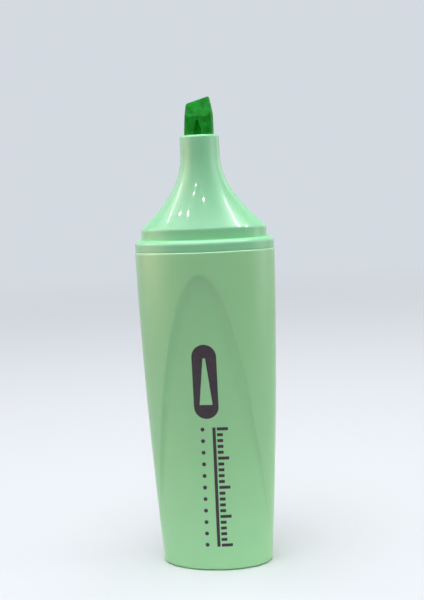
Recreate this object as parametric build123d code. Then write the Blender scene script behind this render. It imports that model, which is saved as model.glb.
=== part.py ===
"""A flat pastel highlighter, uncapped, standing on the closed end of its barrel.

Millimetres. X runs across the two wide faces, Y through the thickness, and Z up
from the tail to the writing tip. The origin is the centre of the tail face.
Every cross-section square to Z is an ellipse, a circle or the nib's rounded block.
"""

from build123d import *
import os

# ---------------------------------------------------------------- barrel
barrel_height = 61.7  # tail face to the parting line under the nose
mouth_width = 27.0
mouth_depth = 16.7
tail_width = 21.4
tail_depth = 13.1
barrel_belly = 0.69  # bow of the sides: 0 is a straight taper
barrel_wall = 1.5
tail_floor = 1.5
tail_edge_radius = 0.7
mouth_edge_radius = 0.3
mouth_lip = 1.2  # width of the lip round the socket
barrel_sections = 8  # even steps that the barrel's form is drawn through

# Thumb panels: one shallow arch on each wide face, deepest below its crown.
arch_crown_height = 56.8
arch_span = 23.6  # full width of the half ellipse that outlines the arch
arch_length = 81.0  # its long half axis; the centre lies below the tail
panel_depth = 0.65
panel_lead_in = 7.4  # the crown slopes in over this height
panel_full_height = 30.0  # above this the panel has its full depth
panel_fade_height = 4.0  # the panel runs out flush here
panel_sections = 16

# Foot: a shallow dish moulded in the tail, with the gate mark in its middle.
foot_rim = 1.7
foot_dish_depth = 0.4
gate_mark_diameter = 1.6
gate_mark_height = 0.2

# Fins inside the barrel hold the reservoir on the axis and off the floor.
fin_thickness = 0.9
fin_top_height = 48.0
floor_fin_height = 0.8

# ---------------------------------------------------------------- nose
flange_height = 2.15
flange_inset = 0.12  # the barrel's lip stands this far proud of the flange
flange_edge_radius = 0.9
cap_seat_ledge = 1.3  # ledge that the cap's rim comes down on
cap_seat_height = 2.0
cap_seat_edge_radius = 0.8
flare_height = 13.5
flare_power = 1.9  # how hollow the flare is: 1 is a straight cone
flare_hollow_share = 0.62  # share of the flare's height that is hollow
flare_sections = 9
collar_diameter = 7.5
collar_height = 4.0
collar_edge_radius = 0.45
nose_wall = 1.2
nib_tube_diameter = 7.0

# Skirt that plugs into the barrel's mouth and snaps there.
skirt_length = 6.4
skirt_wall = 1.1
skirt_lead_in = 0.4
bead_height = 0.25
bead_width = 1.2
bead_drop = 3.2  # parting line down to the middle of the snap bead
rib_thickness = 0.9

# ---------------------------------------------------------------- nib
nib_width = 5.35
nib_thickness = 3.7
nib_corner_radius = 0.8
nib_reach = 7.15  # collar rim to the high corner of the writing edge
nib_edge_width = 4.3
nib_edge_drop = 1.25  # high corner to low corner
nib_edge_thickness = 1.0
nib_bevel_height = 3.7
nib_low_corner_rounding = 0.55
nib_high_corner_rounding = 0.2
vent_width = 1.15
vent_depth = 0.5
vent_point_height = 2.7  # collar rim to the point where the vent runs out
vent_point_length = 1.9
nib_tail_depth = 7.3  # how far the spear stands in the reservoir
nib_tail_taper = 4.5
nib_tail_width = 1.4

# ---------------------------------------------------------------- reservoir
core_diameter = 9.4
core_end_chamfer = 0.3
core_top_drop = 1.4  # parting line down to the top of the fibre rod
film_thickness = 0.15
film_setback = 1.0  # bare fibre at each end of the wrap

# ---------------------------------------------------------------- fits
plug_clearance = 0.05  # skirt in the mouth, all round
snap_clearance = 0.05  # bead in its groove
slot_clearance = 0.05  # nib in its slot and in the fibre
wrap_clearance = 0.04  # film round the core
fin_clearance = 0.15  # wrapped reservoir between the fins
reservoir_play = 0.2  # reservoir under the nose's ribs

# ---------------------------------------------------------------- heights worked out
ledge_height = barrel_height + flange_height
flare_base_height = ledge_height + cap_seat_height
collar_base_height = flare_base_height + flare_height
rim_height = collar_base_height + collar_height
core_base_height = tail_floor + floor_fin_height
core_top_height = barrel_height - core_top_drop
rib_base_height = core_top_height + reservoir_play
skirt_base_height = barrel_height - skirt_length
tip_height = rim_height + nib_reach
nib_base_height = core_top_height - nib_tail_depth

socket_half_width = mouth_width / 2 - mouth_lip
socket_half_depth = mouth_depth / 2 - mouth_lip


def ellipse_at(height, half_width, half_depth):
    """A level ellipse, with its centre on the pen's axis."""
    return Plane.XY.offset(height) * Ellipse(half_width, half_depth)


def block_at(height, width, thickness, corner_radius, length):
    """An upright prism with rounded corners, from height upwards."""
    outline = Plane.XY.offset(height) * RectangleRounded(width, thickness, corner_radius)
    return extrude(outline, length)


def ring(low, high, outer_width, outer_depth, inner_width, inner_depth):
    """An upright elliptical tube between two heights, given by its half sizes."""
    outer = extrude(ellipse_at(low, outer_width, outer_depth), high - low)
    inner = extrude(ellipse_at(low, inner_width, inner_depth), high - low)
    return outer - inner


def barrel_half_sizes(height):
    """Half width and half depth of the barrel's outside at a height."""
    rise = height / barrel_height
    share = rise + barrel_belly * rise * (1 - rise)
    half_width = (tail_width + (mouth_width - tail_width) * share) / 2
    half_depth = (tail_depth + (mouth_depth - tail_depth) * share) / 2
    return half_width, half_depth


def barrel_loft(low, high, inset, steps=barrel_sections):
    """The barrel's tapering form between two heights, drawn in by inset(height)."""
    sections = []
    for step in range(steps + 1):
        height = low + (high - low) * step / steps
        half_width, half_depth = barrel_half_sizes(height)
        depth = inset(height)
        sections.append(ellipse_at(height, half_width - depth, half_depth - depth))
    return loft(sections)


def panel_inset(height):
    """Depth of the thumb panel: ramps in under the crown and fades to the tail."""
    crown = (arch_crown_height - height) / panel_lead_in
    fade = (height - panel_fade_height) / (panel_full_height - panel_fade_height)
    return panel_depth * min(crown, fade, 1)


def thumb_panels():
    """What the two arch panels take off the barrel's wide faces."""
    centre_height = arch_crown_height - arch_length
    outline = Plane.XZ * Pos(0, centre_height) * Ellipse(arch_span / 2, arch_length)
    arch = extrude(outline, mouth_depth, both=True)
    floor = barrel_loft(-mouth_edge_radius, barrel_height, panel_inset, panel_sections)
    return arch - floor


def barrel_cavity():
    """The hollow from the tail floor to the socket, and the socket itself."""
    hollow = barrel_loft(tail_floor, skirt_base_height, lambda height: barrel_wall)
    socket = extrude(
        ellipse_at(skirt_base_height, socket_half_width, socket_half_depth),
        barrel_height - skirt_base_height,
    )
    return hollow + socket


def snap_groove():
    """Groove round the socket for the nose's bead, with sloped sides."""
    reach = bead_height + snap_clearance
    middle = barrel_height - bead_drop
    half = bead_width / 2 + snap_clearance
    sections = [
        ellipse_at(middle - half, socket_half_width, socket_half_depth),
        ellipse_at(middle, socket_half_width + reach, socket_half_depth + reach),
        ellipse_at(middle + half, socket_half_width, socket_half_depth),
    ]
    return loft(sections, ruled=True)


def barrel_fins(cavity):
    """Four upright fins round the reservoir and a low cross under its end."""
    grip_radius = core_diameter / 2 + wrap_clearance + film_thickness + fin_clearance
    fins = None
    for turn in (0, 90):
        plate = Box(mouth_width, fin_thickness, fin_top_height - tail_floor)
        plate = Rot(0, 0, turn) * Pos(0, 0, (fin_top_height + tail_floor) / 2) * plate
        fins = plate if fins is None else fins + plate
    bay_height = fin_top_height - core_base_height
    bay = Pos(0, 0, core_base_height + bay_height / 2) * Cylinder(grip_radius, bay_height)
    return (fins & cavity) - bay


def foot_dish():
    """The shallow dish in the tail, less the gate mark that stands in it."""
    half_width, half_depth = barrel_half_sizes(0)
    dish = extrude(ellipse_at(0, half_width - foot_rim, half_depth - foot_rim), foot_dish_depth)
    mark_base = foot_dish_depth - gate_mark_height
    mark = Pos(0, 0, mark_base + gate_mark_height / 2) * Cylinder(
        gate_mark_diameter / 2, gate_mark_height
    )
    return dish - mark


def make_barrel():
    """One moulding: a tapering oval tube, closed at the tail."""
    body = barrel_loft(0, barrel_height, lambda height: 0)
    tail_edge = body.edges().sort_by(Axis.Z)[0]
    body = fillet(tail_edge, tail_edge_radius)
    mouth_edge = body.edges().sort_by(Axis.Z)[-1]
    body = fillet(mouth_edge, mouth_edge_radius)
    cavity = barrel_cavity()
    body = body - thumb_panels() - cavity - snap_groove() - foot_dish()
    return body + barrel_fins(cavity)


def flare_half_sizes(height, inset=0):
    """Half sizes of the nose's flare: oval at the cap seat, round at the collar."""
    rise = (height - flare_base_height) / flare_height
    share = max(1 - rise, 0) ** flare_power
    radius = collar_diameter / 2
    seat_width = mouth_width / 2 - flange_inset - cap_seat_ledge
    seat_depth = mouth_depth / 2 - flange_inset - cap_seat_ledge
    half_width = radius + (seat_width - radius) * share - inset
    half_depth = radius + (seat_depth - radius) * share - inset
    return half_width, half_depth


def flare_loft(low, high, inset, steps=flare_sections):
    """The flare between two heights, drawn in by a constant inset."""
    sections = []
    for step in range(steps + 1):
        height = low + (high - low) * step / steps
        sections.append(ellipse_at(height, *flare_half_sizes(height, inset)))
    return loft(sections)


def nose_hollow():
    """The space inside the skirt, the flange and the flare."""
    skirt_width = socket_half_width - plug_clearance - skirt_wall
    skirt_depth = socket_half_depth - plug_clearance - skirt_wall
    skirt_bore = extrude(
        ellipse_at(skirt_base_height, skirt_width, skirt_depth),
        ledge_height - skirt_base_height,
    )
    throat_width, throat_depth = flare_half_sizes(flare_base_height, nose_wall)
    throat = loft(
        [
            ellipse_at(ledge_height, skirt_width, skirt_depth),
            ellipse_at(flare_base_height, throat_width, throat_depth),
        ]
    )
    hollow_top = flare_base_height + flare_hollow_share * flare_height
    flare = flare_loft(flare_base_height, hollow_top, nose_wall)
    return skirt_bore + throat + flare


def nose_skirt():
    """The plug below the flange, with a lead-in and a snap bead round it."""
    half_width = socket_half_width - plug_clearance
    half_depth = socket_half_depth - plug_clearance
    plug = extrude(ellipse_at(skirt_base_height, half_width, half_depth), skirt_length)
    plug = chamfer(plug.edges().sort_by(Axis.Z)[0], skirt_lead_in)
    middle = barrel_height - bead_drop
    half = bead_width / 2
    bead = loft(
        [
            ellipse_at(middle - half, half_width, half_depth),
            ellipse_at(middle, half_width + bead_height, half_depth + bead_height),
            ellipse_at(middle + half, half_width, half_depth),
        ],
        ruled=True,
    )
    return plug + bead


def nib_slot():
    """The slot right through the collar that grips the nib."""
    return block_at(
        rib_base_height,
        nib_width + 2 * slot_clearance,
        nib_thickness + 2 * slot_clearance,
        nib_corner_radius + slot_clearance,
        rim_height - rib_base_height,
    )


def make_nose():
    """One glossy moulding: plug, flange, cap seat, hollow flare and collar."""
    flange_width = mouth_width / 2 - flange_inset
    flange_depth = mouth_depth / 2 - flange_inset
    flange = extrude(ellipse_at(barrel_height, flange_width, flange_depth), flange_height)
    flange = fillet(flange.edges().sort_by(Axis.Z)[-1], flange_edge_radius)
    seat_width, seat_depth = flare_half_sizes(flare_base_height)
    seat = extrude(ellipse_at(ledge_height, seat_width, seat_depth), cap_seat_height)
    flare = flare_loft(flare_base_height, collar_base_height, 0)
    shoulder = seat + flare
    seat_edge = shoulder.edges().filter_by_position(
        Axis.Z, flare_base_height, flare_base_height
    )
    shoulder = fillet(seat_edge, cap_seat_edge_radius)
    collar = Cylinder(collar_diameter / 2, collar_height)
    collar = Pos(0, 0, collar_base_height + collar_height / 2) * collar
    collar = fillet(collar.edges().sort_by(Axis.Z)[-1], collar_edge_radius)
    shell = nose_skirt() + flange + shoulder + collar

    hollow = nose_hollow()
    tube_height = rim_height - collar_edge_radius - rib_base_height
    tube = Pos(0, 0, rib_base_height + tube_height / 2) * Cylinder(
        nib_tube_diameter / 2, tube_height
    )
    ribs = None
    for turn in (0, 90):
        plate = Box(mouth_width, rib_thickness, tube_height)
        plate = Rot(0, 0, turn) * Pos(0, 0, rib_base_height + tube_height / 2) * plate
        ribs = plate if ribs is None else ribs + plate
    stiffening = (tube + ribs) & hollow
    return shell - hollow + stiffening - nib_slot()


def nib_blank(clearance=0):
    """The nib's block with its narrowed tip and speared tail, grown by a clearance."""
    half = nib_width / 2 + clearance
    tip_half = nib_edge_width / 2 + clearance
    tail_half = nib_tail_width / 2 + clearance
    bevel_base = tip_height - nib_bevel_height
    outline = Polyline(
        (-tail_half, nib_base_height - clearance),
        (tail_half, nib_base_height - clearance),
        (half, nib_base_height + nib_tail_taper - clearance),
        (half, bevel_base),
        (tip_half, tip_height),
        (-tip_half, tip_height - nib_edge_drop),
        (-half, rim_height),
        (-half, nib_base_height + nib_tail_taper - clearance),
        close=True,
    )
    face = make_face(outline)
    low_corner = face.vertices().sort_by(Axis.Y)[-2]
    face = fillet(low_corner, nib_low_corner_rounding)
    high_corner = face.vertices().sort_by(Axis.Y)[-1]
    face = fillet(high_corner, nib_high_corner_rounding)
    slab = extrude(Plane.XZ * face, nib_thickness, both=True)
    block = block_at(
        nib_base_height - clearance,
        2 * half,
        nib_thickness + 2 * clearance,
        nib_corner_radius + clearance,
        tip_height - nib_base_height + 2 * clearance,
    )
    return slab & block


def nib_bevels():
    """The two wedges that the chisel's bevels take off."""
    bevel_base = tip_height - nib_bevel_height
    wedge = None
    for side in (1, -1):
        outline = Polyline(
            (side * nib_thickness / 2, bevel_base),
            (side * nib_edge_thickness / 2, tip_height),
            (side * nib_edge_thickness / 2, tip_height + nib_bevel_height),
            (side * nib_thickness, tip_height + nib_bevel_height),
            (side * nib_thickness, bevel_base),
            close=True,
        )
        cut = extrude(Plane.YZ * make_face(outline), nib_width, both=True)
        wedge = cut if wedge is None else wedge + cut
    return wedge


def nib_vents():
    """The air vents down both wide faces, each ending in a point under the bevel."""
    point = rim_height + vent_point_height
    shoulder = point - vent_point_length
    outline = Polyline(
        (-vent_width / 2, nib_base_height),
        (vent_width / 2, nib_base_height),
        (vent_width / 2, shoulder),
        (0, point),
        (-vent_width / 2, shoulder),
        close=True,
    )
    face = Plane.XZ * make_face(outline)
    core_thickness = nib_thickness / 2 - vent_depth
    both_sides = extrude(face, nib_thickness, both=True)
    middle = Pos(0, 0, tip_height / 2) * Box(nib_width, 2 * core_thickness, tip_height)
    return both_sides - middle


def make_nib():
    """A bonded-fibre chisel nib: slanted writing edge, two bevels, two vents."""
    return nib_blank() - nib_bevels() - nib_vents()


def make_reservoir_core():
    """The ink-filled fibre rod, pierced at its top by the nib's spear."""
    length = core_top_height - core_base_height
    rod = Pos(0, 0, core_base_height + length / 2) * Cylinder(core_diameter / 2, length)
    rod = chamfer(rod.edges().filter_by(GeomType.CIRCLE), core_end_chamfer)
    return rod - nib_blank(slot_clearance)


def make_reservoir_film():
    """The thin wrap round the fibre rod, set back from both of its ends."""
    low = core_base_height + film_setback
    high = core_top_height - film_setback
    inner = core_diameter / 2 + wrap_clearance
    outer = inner + film_thickness
    return ring(low, high, outer, outer, inner, inner)


os.makedirs("parts", exist_ok=True)
export_step(make_barrel(), "parts/barrel.step")
export_step(make_nose(), "parts/nose.step")
export_step(make_nib(), "parts/nib.step")
export_step(make_reservoir_core(), "parts/reservoir_core.step")
export_step(make_reservoir_film(), "parts/reservoir_film.step")
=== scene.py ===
"""A flat pastel highlighter, uncapped, standing on its tail. Metres throughout."""

import math

import bmesh
import bpy
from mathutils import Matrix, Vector


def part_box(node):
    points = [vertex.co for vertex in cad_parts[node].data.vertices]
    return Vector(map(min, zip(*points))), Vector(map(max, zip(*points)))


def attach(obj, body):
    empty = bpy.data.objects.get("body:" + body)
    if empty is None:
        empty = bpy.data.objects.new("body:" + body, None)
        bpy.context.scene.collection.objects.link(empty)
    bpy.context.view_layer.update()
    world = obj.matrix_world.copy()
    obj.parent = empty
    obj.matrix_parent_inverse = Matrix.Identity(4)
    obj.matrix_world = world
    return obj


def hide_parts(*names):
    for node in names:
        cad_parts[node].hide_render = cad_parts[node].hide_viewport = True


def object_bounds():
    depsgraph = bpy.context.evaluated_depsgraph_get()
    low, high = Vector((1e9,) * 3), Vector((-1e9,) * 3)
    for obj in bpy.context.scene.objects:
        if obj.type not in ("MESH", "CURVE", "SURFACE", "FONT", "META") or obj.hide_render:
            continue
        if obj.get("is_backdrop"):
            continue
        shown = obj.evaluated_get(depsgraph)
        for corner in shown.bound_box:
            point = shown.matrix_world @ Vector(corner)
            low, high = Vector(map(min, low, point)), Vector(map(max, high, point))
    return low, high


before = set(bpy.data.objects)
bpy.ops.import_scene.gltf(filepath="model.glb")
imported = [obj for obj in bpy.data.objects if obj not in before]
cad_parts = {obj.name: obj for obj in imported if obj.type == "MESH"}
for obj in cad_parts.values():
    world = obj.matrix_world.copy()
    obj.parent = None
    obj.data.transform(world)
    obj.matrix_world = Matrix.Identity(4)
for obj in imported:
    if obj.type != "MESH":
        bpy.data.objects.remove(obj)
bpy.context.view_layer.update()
MM = 0.001


# ---------------------------------------------------------------- barrel
# One injection-moulded oval tube in pastel mint, open at the mouth and closed at
# the tail it stands on. Each wide face has a shallow arch-shaped thumb panel, which
# slopes in under its crown and runs out softly towards the tail.
barrel_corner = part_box("barrel")[1]
mouth_half_width = barrel_corner.x
mouth_half_depth = barrel_corner.y
barrel_height = barrel_corner.z
tail_half_width = 10.7 * MM
tail_half_depth = 6.55 * MM
barrel_belly = 0.69
barrel_wall = 1.5 * MM
tail_edge_radius = 0.7 * MM
mouth_edge_radius = 0.3 * MM
mouth_lip = 1.2 * MM
socket_depth = 6.4 * MM
foot_rim = 1.7 * MM
foot_dish_depth = 0.4 * MM
foot_rim_round = 0.05 * MM
gate_mark_radius = 0.8 * MM
gate_mark_height = 0.2 * MM
gate_mark_taper = 0.9
panel_centre_height = -24.2 * MM
panel_rim_half_span = 11.9 * MM
panel_rim_length = 82.0 * MM
panel_floor_half_span = 11.0 * MM
panel_floor_length = 77.0 * MM
panel_leg_ledge = 0.68 * MM
panel_crown_ledge = 0.95 * MM
panel_hollow = 0.5 * MM
panel_rim_rounding = 0.25
panel_full_height = 30.0 * MM
panel_fade_height = 4.0 * MM
barrel_segments = 400
barrel_rows = 190
barrel_inside_rows = 5
tail_edge_steps = 8
mouth_edge_steps = 4
outside_from = 0.97
barrel_crease = math.radians(35)
barrel_colour = (0.33, 0.705, 0.285)
barrel_roughness = 0.32
barrel_grain = 0.0015 * MM
barrel_ripple = 0.015 * MM
barrel_gloss = 1.0
barrel_coat = 0.3
barrel_coat_roughness = 0.3
plastic_ior = 1.49
pigment_cloud = 0.04
pigment_cloud_scale = 60
streak = 0.03
streak_scale = 300
streak_stretch = 0.2
grain_scale = 3200
ripple_scale = 190
scatter_share = 0.1
scatter_by_colour = (0.9, 1.0, 0.7)
scatter_depth = 1.2 * MM


def barrel_half_sizes(height):
    """Half width and half depth of the barrel's outside, before the thumb panels."""
    rise = height / barrel_height
    share = rise + barrel_belly * rise * (1 - rise)
    half_width = tail_half_width + (mouth_half_width - tail_half_width) * share
    half_depth = tail_half_depth + (mouth_half_depth - tail_half_depth) * share
    return half_width, half_depth


def smooth_step(value):
    """0 below 0, 1 above 1, and an even ease between."""
    value = min(max(value, 0.0), 1.0)
    return value * value * (3 - 2 * value)


def panel_inset(x, height):
    """How deep the thumb panel lies: a ledge inside its rim arch, and a flattish hollow."""
    above = height - panel_centre_height
    rim = math.hypot(x / panel_rim_half_span, above / panel_rim_length)
    floor = math.hypot(x / panel_floor_half_span, above / panel_floor_length)
    towards_crown = above / panel_floor_length / floor
    ledge = panel_leg_ledge + (panel_crown_ledge - panel_leg_ledge) * towards_crown**3
    hollow = panel_hollow * (1 - min(floor, 1) ** 2)
    inside = min(max((1 - rim) / (floor - rim), 0), 1)
    slope = inside * (2 - inside) * smooth_step(inside / panel_rim_rounding)
    fade = (height - panel_fade_height) / (panel_full_height - panel_fade_height)
    return (ledge + hollow) * slope * smooth_step(fade)


def oval_ring_to(ring, old, new):
    """Moves a ring of vertices from one oval (half width, half depth, height) to another."""
    for vertex in ring:
        vertex.co.x *= new[0] / old[0]
        vertex.co.y *= new[1] / old[1]
        vertex.co.z = new[2]


def keep_creases(bm, angle):
    """Smooth shading over the whole mesh, apart from edges that turn by more than an angle."""
    for face in bm.faces:
        face.smooth = True
    for edge in bm.edges:
        edge.smooth = len(edge.link_faces) == 2 and edge.calc_face_angle() < angle


def finished(name, bm):
    """The modelled mesh as an object of the scene, with its normals outwards."""
    bmesh.ops.recalc_face_normals(bm, faces=bm.faces)
    mesh = bpy.data.meshes.new(name)
    bm.to_mesh(mesh)
    bm.free()
    piece = bpy.data.objects.new(name, mesh)
    bpy.context.scene.collection.objects.link(piece)
    return piece


def oval_skin(rings, segments):
    """A closed skin over level ovals, each given as half width, half depth and height."""
    bm = bmesh.new()
    ring = bmesh.ops.create_circle(bm, cap_ends=True, segments=segments, radius=1)["verts"]
    oval_ring_to(ring, (1, 1, 0), rings[0])
    edges = [edge for edge in bm.edges if edge.is_boundary]
    for old, new in zip(rings, rings[1:]):
        grown = bmesh.ops.extrude_edge_only(bm, edges=edges)["geom"]
        ring = [item for item in grown if isinstance(item, bmesh.types.BMVert)]
        edges = [item for item in grown if isinstance(item, bmesh.types.BMEdge)]
        edges = [edge for edge in edges if edge.is_boundary]
        oval_ring_to(ring, old, new)
    bmesh.ops.contextual_create(bm, geom=edges)
    return bm


def barrel_rings():
    """The barrel's ovals, from the gate mark on its foot, up the outside and down inside."""
    dish = (tail_half_width - foot_rim, tail_half_depth - foot_rim)
    gate_mark_top = gate_mark_radius * gate_mark_taper
    rings = [
        (gate_mark_top, gate_mark_top, foot_dish_depth - gate_mark_height),
        (gate_mark_radius, gate_mark_radius, foot_dish_depth - gate_mark_height / 2),
        (gate_mark_radius, gate_mark_radius, foot_dish_depth),
        (*dish, foot_dish_depth),
        (*dish, foot_rim_round),
        (dish[0] + foot_rim_round, dish[1] + foot_rim_round, 0),
    ]
    for step in range(tail_edge_steps + 1):
        turn = math.pi / 2 * step / tail_edge_steps
        height = tail_edge_radius * (1 - math.cos(turn))
        half_width, half_depth = barrel_half_sizes(height)
        inset = tail_edge_radius * (1 - math.sin(turn))
        rings.append((half_width - inset, half_depth - inset, height))
    straight_high = barrel_height - mouth_edge_radius
    for row in range(1, barrel_rows + 1):
        height = tail_edge_radius + (straight_high - tail_edge_radius) * row / barrel_rows
        rings.append((*barrel_half_sizes(height), height))
    for step in range(1, mouth_edge_steps + 1):
        turn = math.pi / 2 * step / mouth_edge_steps
        height = straight_high + mouth_edge_radius * math.sin(turn)
        half_width, half_depth = barrel_half_sizes(height)
        inset = mouth_edge_radius * (1 - math.cos(turn))
        rings.append((half_width - inset, half_depth - inset, height))
    socket = (mouth_half_width - mouth_lip, mouth_half_depth - mouth_lip)
    rings.append((*socket, barrel_height))
    rings.append((*socket, barrel_height - socket_depth))
    inside_high = barrel_height - socket_depth
    for row in range(barrel_inside_rows + 1):
        height = inside_high + (barrel_wall - inside_high) * row / barrel_inside_rows
        half_width, half_depth = barrel_half_sizes(height)
        rings.append((half_width - barrel_wall, half_depth - barrel_wall, height))
    return rings


bm = oval_skin(barrel_rings(), barrel_segments)
for vertex in bm.verts:
    half_width, half_depth = barrel_half_sizes(vertex.co.z)
    outside = math.hypot(vertex.co.x / half_width, vertex.co.y / half_depth) > outside_from
    if outside and tail_edge_radius < vertex.co.z < barrel_height - mouth_edge_radius:
        inset = panel_inset(vertex.co.x, vertex.co.z)
        outward = Vector((vertex.co.x / half_width**2, vertex.co.y / half_depth**2, 0))
        vertex.co -= outward.normalized() * inset
keep_creases(bm, barrel_crease)
barrel = finished("barrel_shell", bm)


def node_maker(owner):
    """A node tree, its surface shader if it has one, and a function that adds and links nodes."""
    owner.use_nodes = True
    tree = owner.node_tree
    shader = tree.nodes.get("Principled BSDF")

    def node(kind, inputs=(), **settings):
        made = tree.nodes.new(kind)
        for setting, value in settings.items():
            setattr(made, setting, value)
        for socket, value in dict(inputs).items():
            if isinstance(value, bpy.types.NodeSocket):
                tree.links.new(value, made.inputs[socket])
            else:
                made.inputs[socket].default_value = value
        return made

    return tree, shader, node


def moulded_plastic(name, colour, roughness, grain_depth, ripple_depth):
    """Pastel polypropylene: slightly cloudy pigment, a fine grain and faint sink ripples."""
    material = bpy.data.materials.new(name)
    tree, shader, node = node_maker(material)
    place = node("ShaderNodeTexCoord").outputs["Object"]
    cloud = node(
        "ShaderNodeTexNoise", {"Vector": place, "Scale": pigment_cloud_scale, "Detail": 1}
    ).outputs["Fac"]
    pale = tuple(channel * (1 + pigment_cloud) for channel in colour)
    deep = tuple(channel * (1 - pigment_cloud) for channel in colour)
    tint = node(
        "ShaderNodeMixRGB", {"Fac": cloud, "Color1": (*deep, 1), "Color2": (*pale, 1)}
    ).outputs["Color"]
    tree.links.new(tint, shader.inputs["Base Color"])
    drawn = node(
        "ShaderNodeMapping", {"Vector": place, "Scale": (1, 1, streak_stretch)}
    ).outputs["Vector"]
    streaks = node(
        "ShaderNodeTexNoise", {"Vector": drawn, "Scale": streak_scale, "Detail": 2}
    ).outputs["Fac"]
    rub = node(
        "ShaderNodeMapRange",
        {"Value": streaks, "To Min": roughness - streak, "To Max": roughness + streak},
    ).outputs["Result"]
    tree.links.new(rub, shader.inputs["Roughness"])
    grain = node(
        "ShaderNodeTexNoise", {"Vector": place, "Scale": grain_scale, "Detail": 2}
    ).outputs["Fac"]
    grain_bump = node(
        "ShaderNodeBump", {"Height": grain, "Distance": grain_depth, "Strength": 1.0}
    ).outputs["Normal"]
    ripple = node(
        "ShaderNodeTexNoise", {"Vector": place, "Scale": ripple_scale, "Detail": 1}
    ).outputs["Fac"]
    ripple_bump = node(
        "ShaderNodeBump",
        {"Height": ripple, "Distance": ripple_depth, "Strength": 1.0, "Normal": grain_bump},
    ).outputs["Normal"]
    tree.links.new(ripple_bump, shader.inputs["Normal"])
    shader.inputs["IOR"].default_value = plastic_ior
    shader.inputs["Subsurface Weight"].default_value = scatter_share
    shader.inputs["Subsurface Radius"].default_value = scatter_by_colour
    shader.inputs["Subsurface Scale"].default_value = scatter_depth
    return material, shader


barrel_plastic, shader = moulded_plastic(
    "barrel_plastic", barrel_colour, barrel_roughness, barrel_grain, barrel_ripple
)
shader.inputs["Specular IOR Level"].default_value = barrel_gloss
shader.inputs["Coat Weight"].default_value = barrel_coat
shader.inputs["Coat Roughness"].default_value = barrel_coat_roughness
barrel.data.materials.append(barrel_plastic)
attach(barrel, "root")
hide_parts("barrel")


# ---------------------------------------------------------------- print
# Pad printing in dark plum ink on the front thumb panel, read from above down: a
# capsule with a bare wedge in it, and under it a rule of bars beside a row of dots.
ink_height = 0.02 * MM
ink_bite = 0.03 * MM
capsule_half_width = 2.35 * MM
capsule_low = 29.9 * MM
capsule_high = 44.2 * MM
capsule_rounding = 2.34 * MM
wedge_low = 32.6 * MM
wedge_high = 41.6 * MM
wedge_low_half_width = 1.25 * MM
wedge_high_half_width = 0.25 * MM
rule_low = 4.9 * MM
rule_high = 28.2 * MM
rule_spine = (0.95 * MM, 1.55 * MM)
rule_bars = 20
rule_bar_width = 0.58 * MM
rule_bar_gap = 0.25 * MM
rule_short_end = 2.9 * MM
rule_long_end = 3.9 * MM
rule_long_every = 5
dot_centre = -0.95 * MM
dot_radius = 0.38 * MM
dot_rounding = 0.99 * dot_radius
dots = 11
ink_corner_steps = 8
ink_slice_width = 0.5 * MM
ink_slices_across = range(-5, 9)
ink_slice_height = 2.0 * MM
ink_slices_up = range(4, 24)
ink_dark = (0.020, 0.009, 0.014, 1)
ink_light = (0.042, 0.020, 0.030, 1)
ink_dark_until = 0.3
ink_light_from = 0.75
ink_mottle_scale = 1500
ink_smoothest = 0.3
ink_roughest = 0.42
cut_tolerance = 1e-7


def ink_shape(bm, low_x, high_x, low_z, high_z, rounding):
    """A flat patch of ink with rounded corners, drawn in the plane across the barrel's front."""
    corners = bmesh.ops.create_grid(bm, x_segments=1, y_segments=1, size=0.5)["verts"]
    for vertex in corners:
        x = low_x + (high_x - low_x) * (vertex.co.x + 0.5)
        z = low_z + (high_z - low_z) * (vertex.co.y + 0.5)
        vertex.co = Vector((x, 0, z))
    if rounding:
        bmesh.ops.bevel(
            bm, geom=corners, offset=rounding, offset_type="OFFSET", segments=ink_corner_steps,
            profile=0.5, affect="VERTICES", material=-1,
        )


def slice_at(bm, place, normal):
    """Cuts every face of a mesh along a plane."""
    geometry = bm.verts[:] + bm.edges[:] + bm.faces[:]
    bmesh.ops.bisect_plane(
        bm, geom=geometry, plane_co=place, plane_no=normal, dist=cut_tolerance
    )


def barrel_front(x, z):
    """How far in front of the axis the barrel's front surface is."""
    half_width, half_depth = barrel_half_sizes(z)
    return half_depth * math.sqrt(1 - (x / half_width) ** 2) - panel_inset(x, z)


def laid_ink(name, bm):
    """Lays flat ink shapes on the barrel as a thin closed film that follows its surface."""
    for step in ink_slices_across:
        slice_at(bm, (step * ink_slice_width, 0, 0), (1, 0, 0))
    for step in ink_slices_up:
        slice_at(bm, (0, 0, step * ink_slice_height), (0, 0, 1))
    bmesh.ops.recalc_face_normals(bm, faces=bm.faces)
    raised = bmesh.ops.extrude_face_region(bm, geom=bm.faces[:])["geom"]
    raised = {item for item in raised if isinstance(item, bmesh.types.BMVert)}
    for vertex in bm.verts:
        level = ink_height if vertex in raised else -ink_bite
        vertex.co.y = -barrel_front(vertex.co.x, vertex.co.z) - level
    return finished(name, bm)


def two_shades(node, pattern, low, low_colour, high, high_colour):
    """A pattern's colours: one up to a low level, one from a high level, blended between."""
    ramp = node("ShaderNodeValToRGB", {"Fac": pattern})
    ramp.color_ramp.elements[0].position = low
    ramp.color_ramp.elements[0].color = low_colour
    ramp.color_ramp.elements[1].position = high
    ramp.color_ramp.elements[1].color = high_colour
    return ramp.outputs["Color"]


ink = bpy.data.materials.new("plum_ink")
tree, shader, node = node_maker(ink)
place = node("ShaderNodeTexCoord").outputs["Object"]
mottle = node(
    "ShaderNodeTexNoise", {"Vector": place, "Scale": ink_mottle_scale, "Detail": 4}
).outputs["Fac"]
ink_shade = two_shades(node, mottle, ink_dark_until, ink_dark, ink_light_from, ink_light)
tree.links.new(ink_shade, shader.inputs["Base Color"])
ink_rub = node(
    "ShaderNodeMapRange", {"Value": mottle, "To Min": ink_smoothest, "To Max": ink_roughest}
).outputs["Result"]
tree.links.new(ink_rub, shader.inputs["Roughness"])

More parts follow.
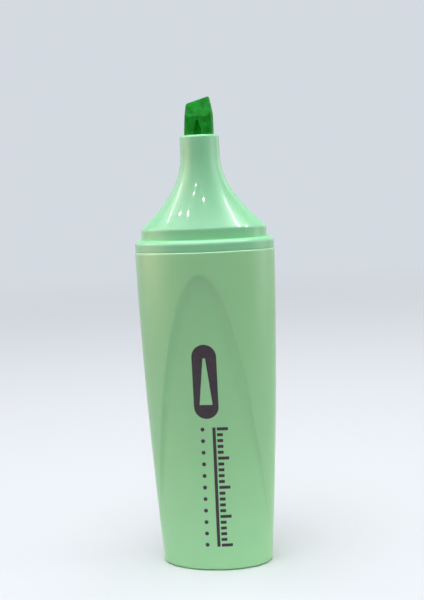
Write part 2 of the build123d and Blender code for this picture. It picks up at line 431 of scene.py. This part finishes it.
bm = bmesh.new()
ink_shape(
    bm, -capsule_half_width, capsule_half_width, capsule_low, capsule_high, capsule_rounding
)
lean = (wedge_low_half_width - wedge_high_half_width) / (wedge_high - wedge_low)
slice_at(bm, (0, 0, wedge_low), (0, 0, 1))
slice_at(bm, (0, 0, wedge_high), (0, 0, 1))
for side in (1, -1):
    slice_at(bm, (side * wedge_low_half_width, 0, wedge_low), (side, 0, lean))
bare = []
for face in bm.faces:
    middle = face.calc_center_median()
    edge_x = wedge_low_half_width - lean * (middle.z - wedge_low)
    if wedge_low < middle.z < wedge_high and abs(middle.x) < edge_x:
        bare.append(face)
bmesh.ops.delete(bm, geom=bare, context="FACES")
capsule = laid_ink("printed_capsule", bm)

bm = bmesh.new()
ink_shape(bm, *rule_spine, rule_low, rule_high, 0)
pitch = (rule_high - rule_low - rule_bar_width) / rule_bars
for bar in range(rule_bars + 1):
    end = rule_long_end if bar % rule_long_every == 0 else rule_short_end
    low = rule_low + bar * pitch
    ink_shape(bm, rule_spine[1] + rule_bar_gap, end, low, low + rule_bar_width, 0)
rule = laid_ink("printed_rule", bm)

bm = bmesh.new()
pitch = (rule_high - rule_low - 2 * dot_radius) / (dots - 1)
for dot in range(dots):
    middle = rule_low + dot_radius + dot * pitch
    ink_shape(
        bm, dot_centre - dot_radius, dot_centre + dot_radius,
        middle - dot_radius, middle + dot_radius, dot_rounding,
    )
dot_row = laid_ink("printed_dots", bm)

for printed in (capsule, rule, dot_row):
    printed.data.materials.append(ink)
    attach(printed, "root")


# ---------------------------------------------------------------- nose
# The glossy front moulding in the same pastel: a flange that closes the barrel's
# mouth, the oval seat of the cap, a hollow flare and the round collar of the nib.
nose_colour = (0.275, 0.69, 0.325)
nose_roughness = 0.4
nose_grain = 0.00004 * MM
nose_ripple = 0.006 * MM
nose_gloss = 0.6
nose_coat = 0.35
nose_coat_roughness = 0.06

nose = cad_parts["nose"]
nose_plastic, shader = moulded_plastic(
    "nose_plastic", nose_colour, nose_roughness, nose_grain, nose_ripple
)
shader.inputs["Specular IOR Level"].default_value = nose_gloss
shader.inputs["Coat Weight"].default_value = nose_coat
shader.inputs["Coat Roughness"].default_value = nose_coat_roughness
nose.data.materials.clear()
nose.data.materials.append(nose_plastic)


# ---------------------------------------------------------------- nib
# A block of bonded polyester fibre, ground to a slanted chisel with two bevels and
# two air vents, and soaked in green ink. Its spear-shaped tail stands in the reservoir.
nib_width = 5.35 * MM
nib_thickness = 3.7 * MM
nib_corner_radius = 0.8 * MM
nib_base = 53.0 * MM
nib_tail_taper = 4.5 * MM
nib_tail_width = 1.4 * MM
collar_rim = 83.35 * MM
nib_tip = 90.5 * MM
nib_edge_width = 4.3 * MM
nib_edge_drop = 1.25 * MM
nib_edge_thickness = 1.0 * MM
nib_bevel_height = 3.7 * MM
nib_low_corner = 0.4 * MM
nib_high_corner = 0.26 * MM
nib_worn_edge = 0.1 * MM
vent_half_width = 0.62 * MM
vent_depth = 0.8 * MM
vent_point = collar_rim + 2.7 * MM
vent_point_length = 1.9 * MM
vent_edge_softness = 0.3 * MM
nib_corner_steps = 6
nib_edge_corner_steps = 5
nib_worn_steps = 3
nib_worn_from = math.radians(30)
nib_crease = math.radians(40)
nib_slice = 0.13 * MM
nib_slices_across = range(-21, 22)
nib_slices_down = range(1, 66)
touching = 0.01 * MM
felt_dark = (0.003, 0.17, 0.006, 1)
felt_light = (0.007, 0.42, 0.026, 1)
felt_dark_until = 0.38
felt_light_from = 0.66
felt_strand_scale = 4200
felt_strand_stretch = 0.3
felt_strand_height = 0.03 * MM
felt_soak_scale = 700
felt_roughness = 0.62
felt_gloss = 0.1


def cut_away(bm, place, normal):
    """Cuts a closed mesh by a plane, drops what is outside and closes the cut."""
    geometry = bm.verts[:] + bm.edges[:] + bm.faces[:]
    cut = bmesh.ops.bisect_plane(
        bm, geom=geometry, plane_co=place, plane_no=normal.normalized(), clear_outer=True,
        dist=cut_tolerance,
    )["geom_cut"]
    rim = [item for item in cut if isinstance(item, bmesh.types.BMEdge)]
    bmesh.ops.contextual_create(bm, geom=rim)


def across(start, end):
    """The outward normal of a line in the nib's wide outline that runs upwards on the right."""
    return Vector((end[1] - start[1], 0, start[0] - end[0]))


bm = bmesh.new()
block = bmesh.ops.create_cube(bm, size=1)["verts"]
bmesh.ops.scale(bm, vec=(nib_width, nib_thickness, nib_tip - nib_base), verts=block)
bmesh.ops.translate(bm, vec=(0, 0, (nib_tip + nib_base) / 2), verts=block)
upright = [edge for edge in bm.edges if abs(edge.verts[0].co.z - edge.verts[1].co.z) > MM]
bmesh.ops.bevel(
    bm, geom=upright, offset=nib_corner_radius, offset_type="OFFSET", segments=nib_corner_steps,
    profile=0.5, affect="EDGES", material=-1,
)
bevel_foot = nib_tip - nib_bevel_height
slant = Vector((-nib_edge_drop, 0, nib_edge_width))
cut_away(bm, (nib_edge_width / 2, 0, nib_tip), slant)
right_side = across((nib_width / 2, bevel_foot), (nib_edge_width / 2, nib_tip))
cut_away(bm, (nib_edge_width / 2, 0, nib_tip), right_side)
low_tip = nib_tip - nib_edge_drop
left_side = across((nib_width / 2, collar_rim), (nib_edge_width / 2, low_tip))
left_side.x = -left_side.x
cut_away(bm, (-nib_edge_width / 2, 0, low_tip), left_side)
for side in (1, -1):
    face = Vector((0, side * nib_bevel_height, (nib_thickness - nib_edge_thickness) / 2))
    cut_away(bm, (0, side * nib_edge_thickness / 2, nib_tip), face)
    tail = Vector((side * nib_tail_taper, 0, -(nib_width - nib_tail_width) / 2))
    cut_away(bm, (side * nib_tail_width / 2, 0, nib_base), tail)
for side, rounding in ((-1, nib_low_corner), (1, nib_high_corner)):
    corner = []
    for edge in bm.edges:
        ends = [vertex.co for vertex in edge.verts]
        beside = max(abs(end.x - side * nib_edge_width / 2) for end in ends)
        if beside < touching and abs(ends[0].z - ends[1].z) < touching:
            corner.append(edge)
    bmesh.ops.bevel(
        bm, geom=corner, offset=rounding, offset_type="OFFSET", segments=nib_edge_corner_steps,
        profile=0.5, affect="EDGES", material=-1, clamp_overlap=True,
    )
worn = [edge for edge in bm.edges if edge.calc_face_angle() > nib_worn_from]
worn = [edge for edge in worn if min(vertex.co.z for vertex in edge.verts) > bevel_foot]
bmesh.ops.bevel(
    bm, geom=worn, offset=nib_worn_edge, offset_type="OFFSET", segments=nib_worn_steps,
    profile=0.5, affect="EDGES", material=-1, clamp_overlap=True,
)
for step in nib_slices_across:
    slice_at(bm, (step * nib_slice, 0, 0), (1, 0, 0))
for step in nib_slices_down:
    slice_at(bm, (0, 0, nib_tip - step * nib_slice), (0, 0, 1))
for vertex in bm.verts:
    below_point = vent_point - vertex.co.z
    half_width = vent_half_width * min(max(below_point / vent_point_length, 0), 1)
    if abs(vertex.co.y) > nib_edge_thickness / 2 and half_width:
        groove = smooth_step((half_width - abs(vertex.co.x)) / vent_edge_softness + 0.5)
        vertex.co.y -= math.copysign(vent_depth * groove, vertex.co.y)
keep_creases(bm, nib_crease)
nib = finished("nib_chisel", bm)

nib_felt = bpy.data.materials.new("nib_felt")
tree, shader, node = node_maker(nib_felt)
place = node("ShaderNodeTexCoord").outputs["Object"]
drawn = node(
    "ShaderNodeMapping", {"Vector": place, "Scale": (1, 1, felt_strand_stretch)}
).outputs["Vector"]
strands = node(
    "ShaderNodeTexNoise",
    {"Vector": drawn, "Scale": felt_strand_scale, "Detail": 4, "Roughness": 0.7},
).outputs["Fac"]
soaked = node(
    "ShaderNodeTexNoise", {"Vector": place, "Scale": felt_soak_scale, "Detail": 2}
).outputs["Fac"]
wet = node("ShaderNodeMath", {0: strands, 1: soaked}, operation="ADD").outputs["Value"]
half_wet = node("ShaderNodeMath", {0: wet, 1: 0.5}, operation="MULTIPLY").outputs["Value"]
ink_green = two_shades(node, half_wet, felt_dark_until, felt_dark, felt_light_from, felt_light)
tree.links.new(ink_green, shader.inputs["Base Color"])
strand_bump = node(
    "ShaderNodeBump", {"Height": strands, "Distance": felt_strand_height, "Strength": 1.0}
).outputs["Normal"]
tree.links.new(strand_bump, shader.inputs["Normal"])
shader.inputs["Roughness"].default_value = felt_roughness
shader.inputs["Specular IOR Level"].default_value = felt_gloss
nib.data.materials.append(nib_felt)
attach(nib, "root")
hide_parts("nib")


# ---------------------------------------------------------------- reservoir
# The ink store inside the barrel: a rod of crimped polyester fibre, soaked in the
# same ink, in a clear sleeve of film that keeps the barrel's wall dry.
fibre_dark = (0.02, 0.22, 0.04, 1)
fibre_light = (0.10, 0.55, 0.14, 1)
fibre_dark_until = 0.35
fibre_light_from = 0.7
fibre_scale = 3000
fibre_stretch = 0.06
fibre_height = 0.05 * MM
fibre_roughness = 0.8
film_dark = (0.16, 0.60, 0.22, 1)
film_light = (0.28, 0.72, 0.34, 1)
film_dark_until = 0.3
film_light_from = 0.7
film_crease_scale = 260
film_crease_height = 0.08 * MM
film_roughness = 0.15

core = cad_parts["reservoir_core"]
core_fibre = bpy.data.materials.new("reservoir_fibre")
tree, shader, node = node_maker(core_fibre)
place = node("ShaderNodeTexCoord").outputs["Object"]
drawn = node(
    "ShaderNodeMapping", {"Vector": place, "Scale": (1, 1, fibre_stretch)}
).outputs["Vector"]
fibres = node(
    "ShaderNodeTexNoise", {"Vector": drawn, "Scale": fibre_scale, "Detail": 3}
).outputs["Fac"]
fibre_green = two_shades(
    node, fibres, fibre_dark_until, fibre_dark, fibre_light_from, fibre_light
)
tree.links.new(fibre_green, shader.inputs["Base Color"])
fibre_bump = node(
    "ShaderNodeBump", {"Height": fibres, "Distance": fibre_height, "Strength": 1.0}
).outputs["Normal"]
tree.links.new(fibre_bump, shader.inputs["Normal"])
shader.inputs["Roughness"].default_value = fibre_roughness
core.data.materials.clear()
core.data.materials.append(core_fibre)

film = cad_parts["reservoir_film"]
wrap = bpy.data.materials.new("reservoir_wrap")
tree, shader, node = node_maker(wrap)
place = node("ShaderNodeTexCoord").outputs["Object"]
creases = node(
    "ShaderNodeTexNoise", {"Vector": place, "Scale": film_crease_scale, "Detail": 5}
).outputs["Fac"]
film_green = two_shades(node, creases, film_dark_until, film_dark, film_light_from, film_light)
tree.links.new(film_green, shader.inputs["Base Color"])
film_bump = node(
    "ShaderNodeBump", {"Height": creases, "Distance": film_crease_height, "Strength": 1.0}
).outputs["Normal"]
tree.links.new(film_bump, shader.inputs["Normal"])
shader.inputs["Roughness"].default_value = film_roughness
film.data.materials.clear()
film.data.materials.append(wrap)


# ---------------------------------------------------------------- stage, light and camera
# A pale table that fades into a plain studio background. Broad soft lamps hang over
# the pen and stand beside it, and small ceiling lamps glint in the glossy nose.
floor_radius = 3
floor_segments = 96
floor_colour = (0.715, 0.70, 0.665, 1)
floor_roughness = 0.7
floor_bounce_near = (0.90, 0.90, 1.0, 1)
floor_bounce_far = (0.14, 0.14, 0.14, 1)
near_bounce_until = 0.02
far_bounce_from = 0.08
floor_plain_until = 0.06
backdrop_from = 0.65
backdrop_colour = (0.658, 0.701, 0.752, 1)
fill_colour = (0.80, 0.81, 0.82, 1)
fill_strength = 0.08
lamp_distance = 0.7
lamp_aim_height = 0.045
softbox_core = 0.1
softbox_edge = 0.5
softbox_strength = 3.25
spot_size = 0.012


def eased(node, value, low, high):
    """0 where a value is below low, 1 where it is above high, and an even ease between."""
    return node(
        "ShaderNodeMapRange", {"Value": value, "From Min": low, "From Max": high},
        interpolation_type="SMOOTHSTEP",
    ).outputs["Result"]


def looked_at(node):
    """1 for what is looked at, straight, mirrored or through glass, and 0 for scattered light."""
    ray = node("ShaderNodeLightPath").outputs
    straight_or_mirrored = node(
        "ShaderNodeMath", {0: ray["Is Camera Ray"], 1: ray["Is Glossy Ray"]}, operation="MAXIMUM"
    ).outputs["Value"]
    return node(
        "ShaderNodeMath", {0: straight_or_mirrored, 1: ray["Is Transmission Ray"]},
        operation="MAXIMUM",
    ).outputs["Value"]


bm = bmesh.new()
bmesh.ops.create_circle(bm, cap_ends=True, segments=floor_segments, radius=floor_radius)
floor = finished("floor", bm)
floor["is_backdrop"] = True
floor_paint = bpy.data.materials.new("floor_paint")
tree, shader, node = node_maker(floor_paint)
place = node("ShaderNodeTexCoord").outputs["Object"]
distance = node("ShaderNodeVectorMath", {0: place}, operation="LENGTH").outputs["Value"]
bounce_away = eased(node, distance, near_bounce_until, far_bounce_from)
bounce = node(
    "ShaderNodeMixRGB",
    {"Fac": bounce_away, "Color1": floor_bounce_near, "Color2": floor_bounce_far},
).outputs["Color"]
floor_tone = node(
    "ShaderNodeMixRGB", {"Fac": looked_at(node), "Color1": bounce, "Color2": floor_colour}
).outputs["Color"]
tree.links.new(floor_tone, shader.inputs["Base Color"])
shader.inputs["Roughness"].default_value = floor_roughness
shader.inputs["Specular IOR Level"].default_value = 0.0
glow = node("ShaderNodeEmission", {"Color": backdrop_colour, "Strength": 1.0}).outputs["Emission"]
into_backdrop = eased(node, distance, floor_plain_until, backdrop_from)
blend = node("ShaderNodeMixShader", {0: into_backdrop, 1: shader.outputs["BSDF"], 2: glow})
tree.links.new(blend.outputs["Shader"], tree.nodes["Material Output"].inputs["Surface"])
floor.data.materials.append(floor_paint)

studio = bpy.data.worlds.new("studio")
bpy.context.scene.world = studio
tree, _, node = node_maker(studio)
fill = tree.nodes["Background"]
fill.inputs["Color"].default_value = fill_colour
fill.inputs["Strength"].default_value = fill_strength
backdrop = node("ShaderNodeBackground", {"Color": backdrop_colour}).outputs["Background"]
surroundings = node(
    "ShaderNodeMixShader", {0: looked_at(node), 1: fill.outputs["Background"], 2: backdrop}
)
tree.links.new(surroundings.outputs["Shader"], tree.nodes["World Output"].inputs["Surface"])


def lamp_round(name, turn, rise, width, height, power, colour=(1, 1, 1), distance=lamp_distance):
    """A rectangular lamp round the pen, at a turn from the front and a rise, facing it."""
    lamp = bpy.data.lights.new(name, "AREA")
    lamp.shape = "RECTANGLE"
    lamp.size = width
    lamp.size_y = height
    lamp.energy = power
    lamp.color = colour
    holder = bpy.data.objects.new(name, lamp)
    turn = math.radians(turn)
    rise = math.radians(rise)
    level = math.cos(rise)
    away = Vector((math.sin(turn) * level, -math.cos(turn) * level, math.sin(rise)))
    holder.location = away * distance + Vector((0, 0, lamp_aim_height))
    holder.rotation_euler = away.to_track_quat("Z", "Y").to_euler()
    bpy.context.scene.collection.objects.link(holder)
    return holder


def softbox(name, **placing):
    """A lamp behind a diffuser, bright in its middle and fading out towards its edges."""
    holder = lamp_round(name, **placing)
    tree, _, node = node_maker(holder.data)
    across_lamp = node("ShaderNodeNewGeometry").outputs["Parametric"]
    from_middle = node(
        "ShaderNodeVectorMath", {0: across_lamp, 1: (0.5, 0.5, 0)}, operation="DISTANCE"
    ).outputs["Value"]
    fade = node(
        "ShaderNodeMapRange",
        {
            "Value": from_middle,
            "From Min": softbox_core,
            "From Max": softbox_edge,
            "To Min": softbox_strength,
            "To Max": 0.0,
        },
        interpolation_type="SMOOTHSTEP",
    ).outputs["Result"]
    tree.links.new(fade, tree.nodes["Emission"].inputs["Strength"])
    return holder


softbox(
    "overhead", turn=-10, rise=80, width=1.4, height=1.4, power=11.1, colour=(0.82, 0.885, 1.0),
    distance=0.75,
)
softbox("left_side", turn=-85, rise=8, width=0.7, height=0.9, power=0.45, colour=(1.0, 0.70, 0.74))
softbox("left_back", turn=-120, rise=10, width=0.6, height=0.8, power=0.6)
softbox("right_side", turn=88, rise=10, width=0.6, height=0.9, power=1.15, colour=(0.98, 0.94, 1.0))
softbox("right_back", turn=135, rise=15, width=0.6, height=0.8, power=0.8)
for side, turn, power, colour in (
    ("left", -72, 5.4, (1.0, 0.64, 0.54)),
    ("right", 84, 1.6, (1.0, 0.80, 0.95)),
):
    sheen = softbox(
        f"{side}_sheen", turn=turn, rise=0, width=1.1, height=1.5, power=power, colour=colour
    )
    sheen.visible_diffuse = False


def ceiling_spots(name, start, end, count, power):
    """A row of small ceiling lamps between two (turn, rise) directions, seen in gloss alone."""
    for step in range(count):
        share = step / max(count - 1, 1)
        turn = start[0] + (end[0] - start[0]) * share
        rise = start[1] + (end[1] - start[1]) * share
        spot = lamp_round(f"{name}_{step}", turn, rise, spot_size, spot_size, power)
        spot.visible_diffuse = False


ceiling_spots("left_row", start=(-90, 24), end=(-71, 43), count=7, power=0.28)
ceiling_spots("right_row", start=(74, 41), end=(60, 55), count=7, power=0.28)
ceiling_spots("upper_pair", start=(-18, 23), end=(-22, 28), count=2, power=0.2)
ceiling_spots("front_spot", start=(4, 33), end=(4, 33), count=1, power=0.45)
ceiling_spots("middle_pair", start=(-30, 38), end=(-47, 39), count=2, power=0.5)
ceiling_spots("right_spot", start=(57, 57), end=(57, 57), count=1, power=0.65)

view_distance = 0.205
view_turn = math.radians(8.5)
view_side = 1.03 * MM
view_height = 75.7 * MM
view_pitch = math.radians(6.66)
view_roll = math.radians(-2.6)
focal_length_in_frames = 1.781
nearest_in_view = 0.01

camera_data = bpy.data.cameras.new("camera")
camera = bpy.data.objects.new("camera", camera_data)
bpy.context.scene.collection.objects.link(camera)
bpy.context.scene.camera = camera
camera_data.lens = camera_data.sensor_width * focal_length_in_frames
camera_data.clip_start = nearest_in_view
right = Vector((math.cos(view_turn), math.sin(view_turn), 0))
forward = Vector((-math.sin(view_turn), math.cos(view_turn), 0))
camera.location = right * view_side - forward * view_distance + Vector((0, 0, view_height))
look = forward * math.cos(view_pitch) - Vector((0, 0, math.sin(view_pitch)))
camera.rotation_euler = look.to_track_quat("-Z", "Y").to_euler()
camera.rotation_euler.rotate_axis("Z", view_roll)

bpy.context.scene.view_settings.view_transform = "Standard"

low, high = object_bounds()
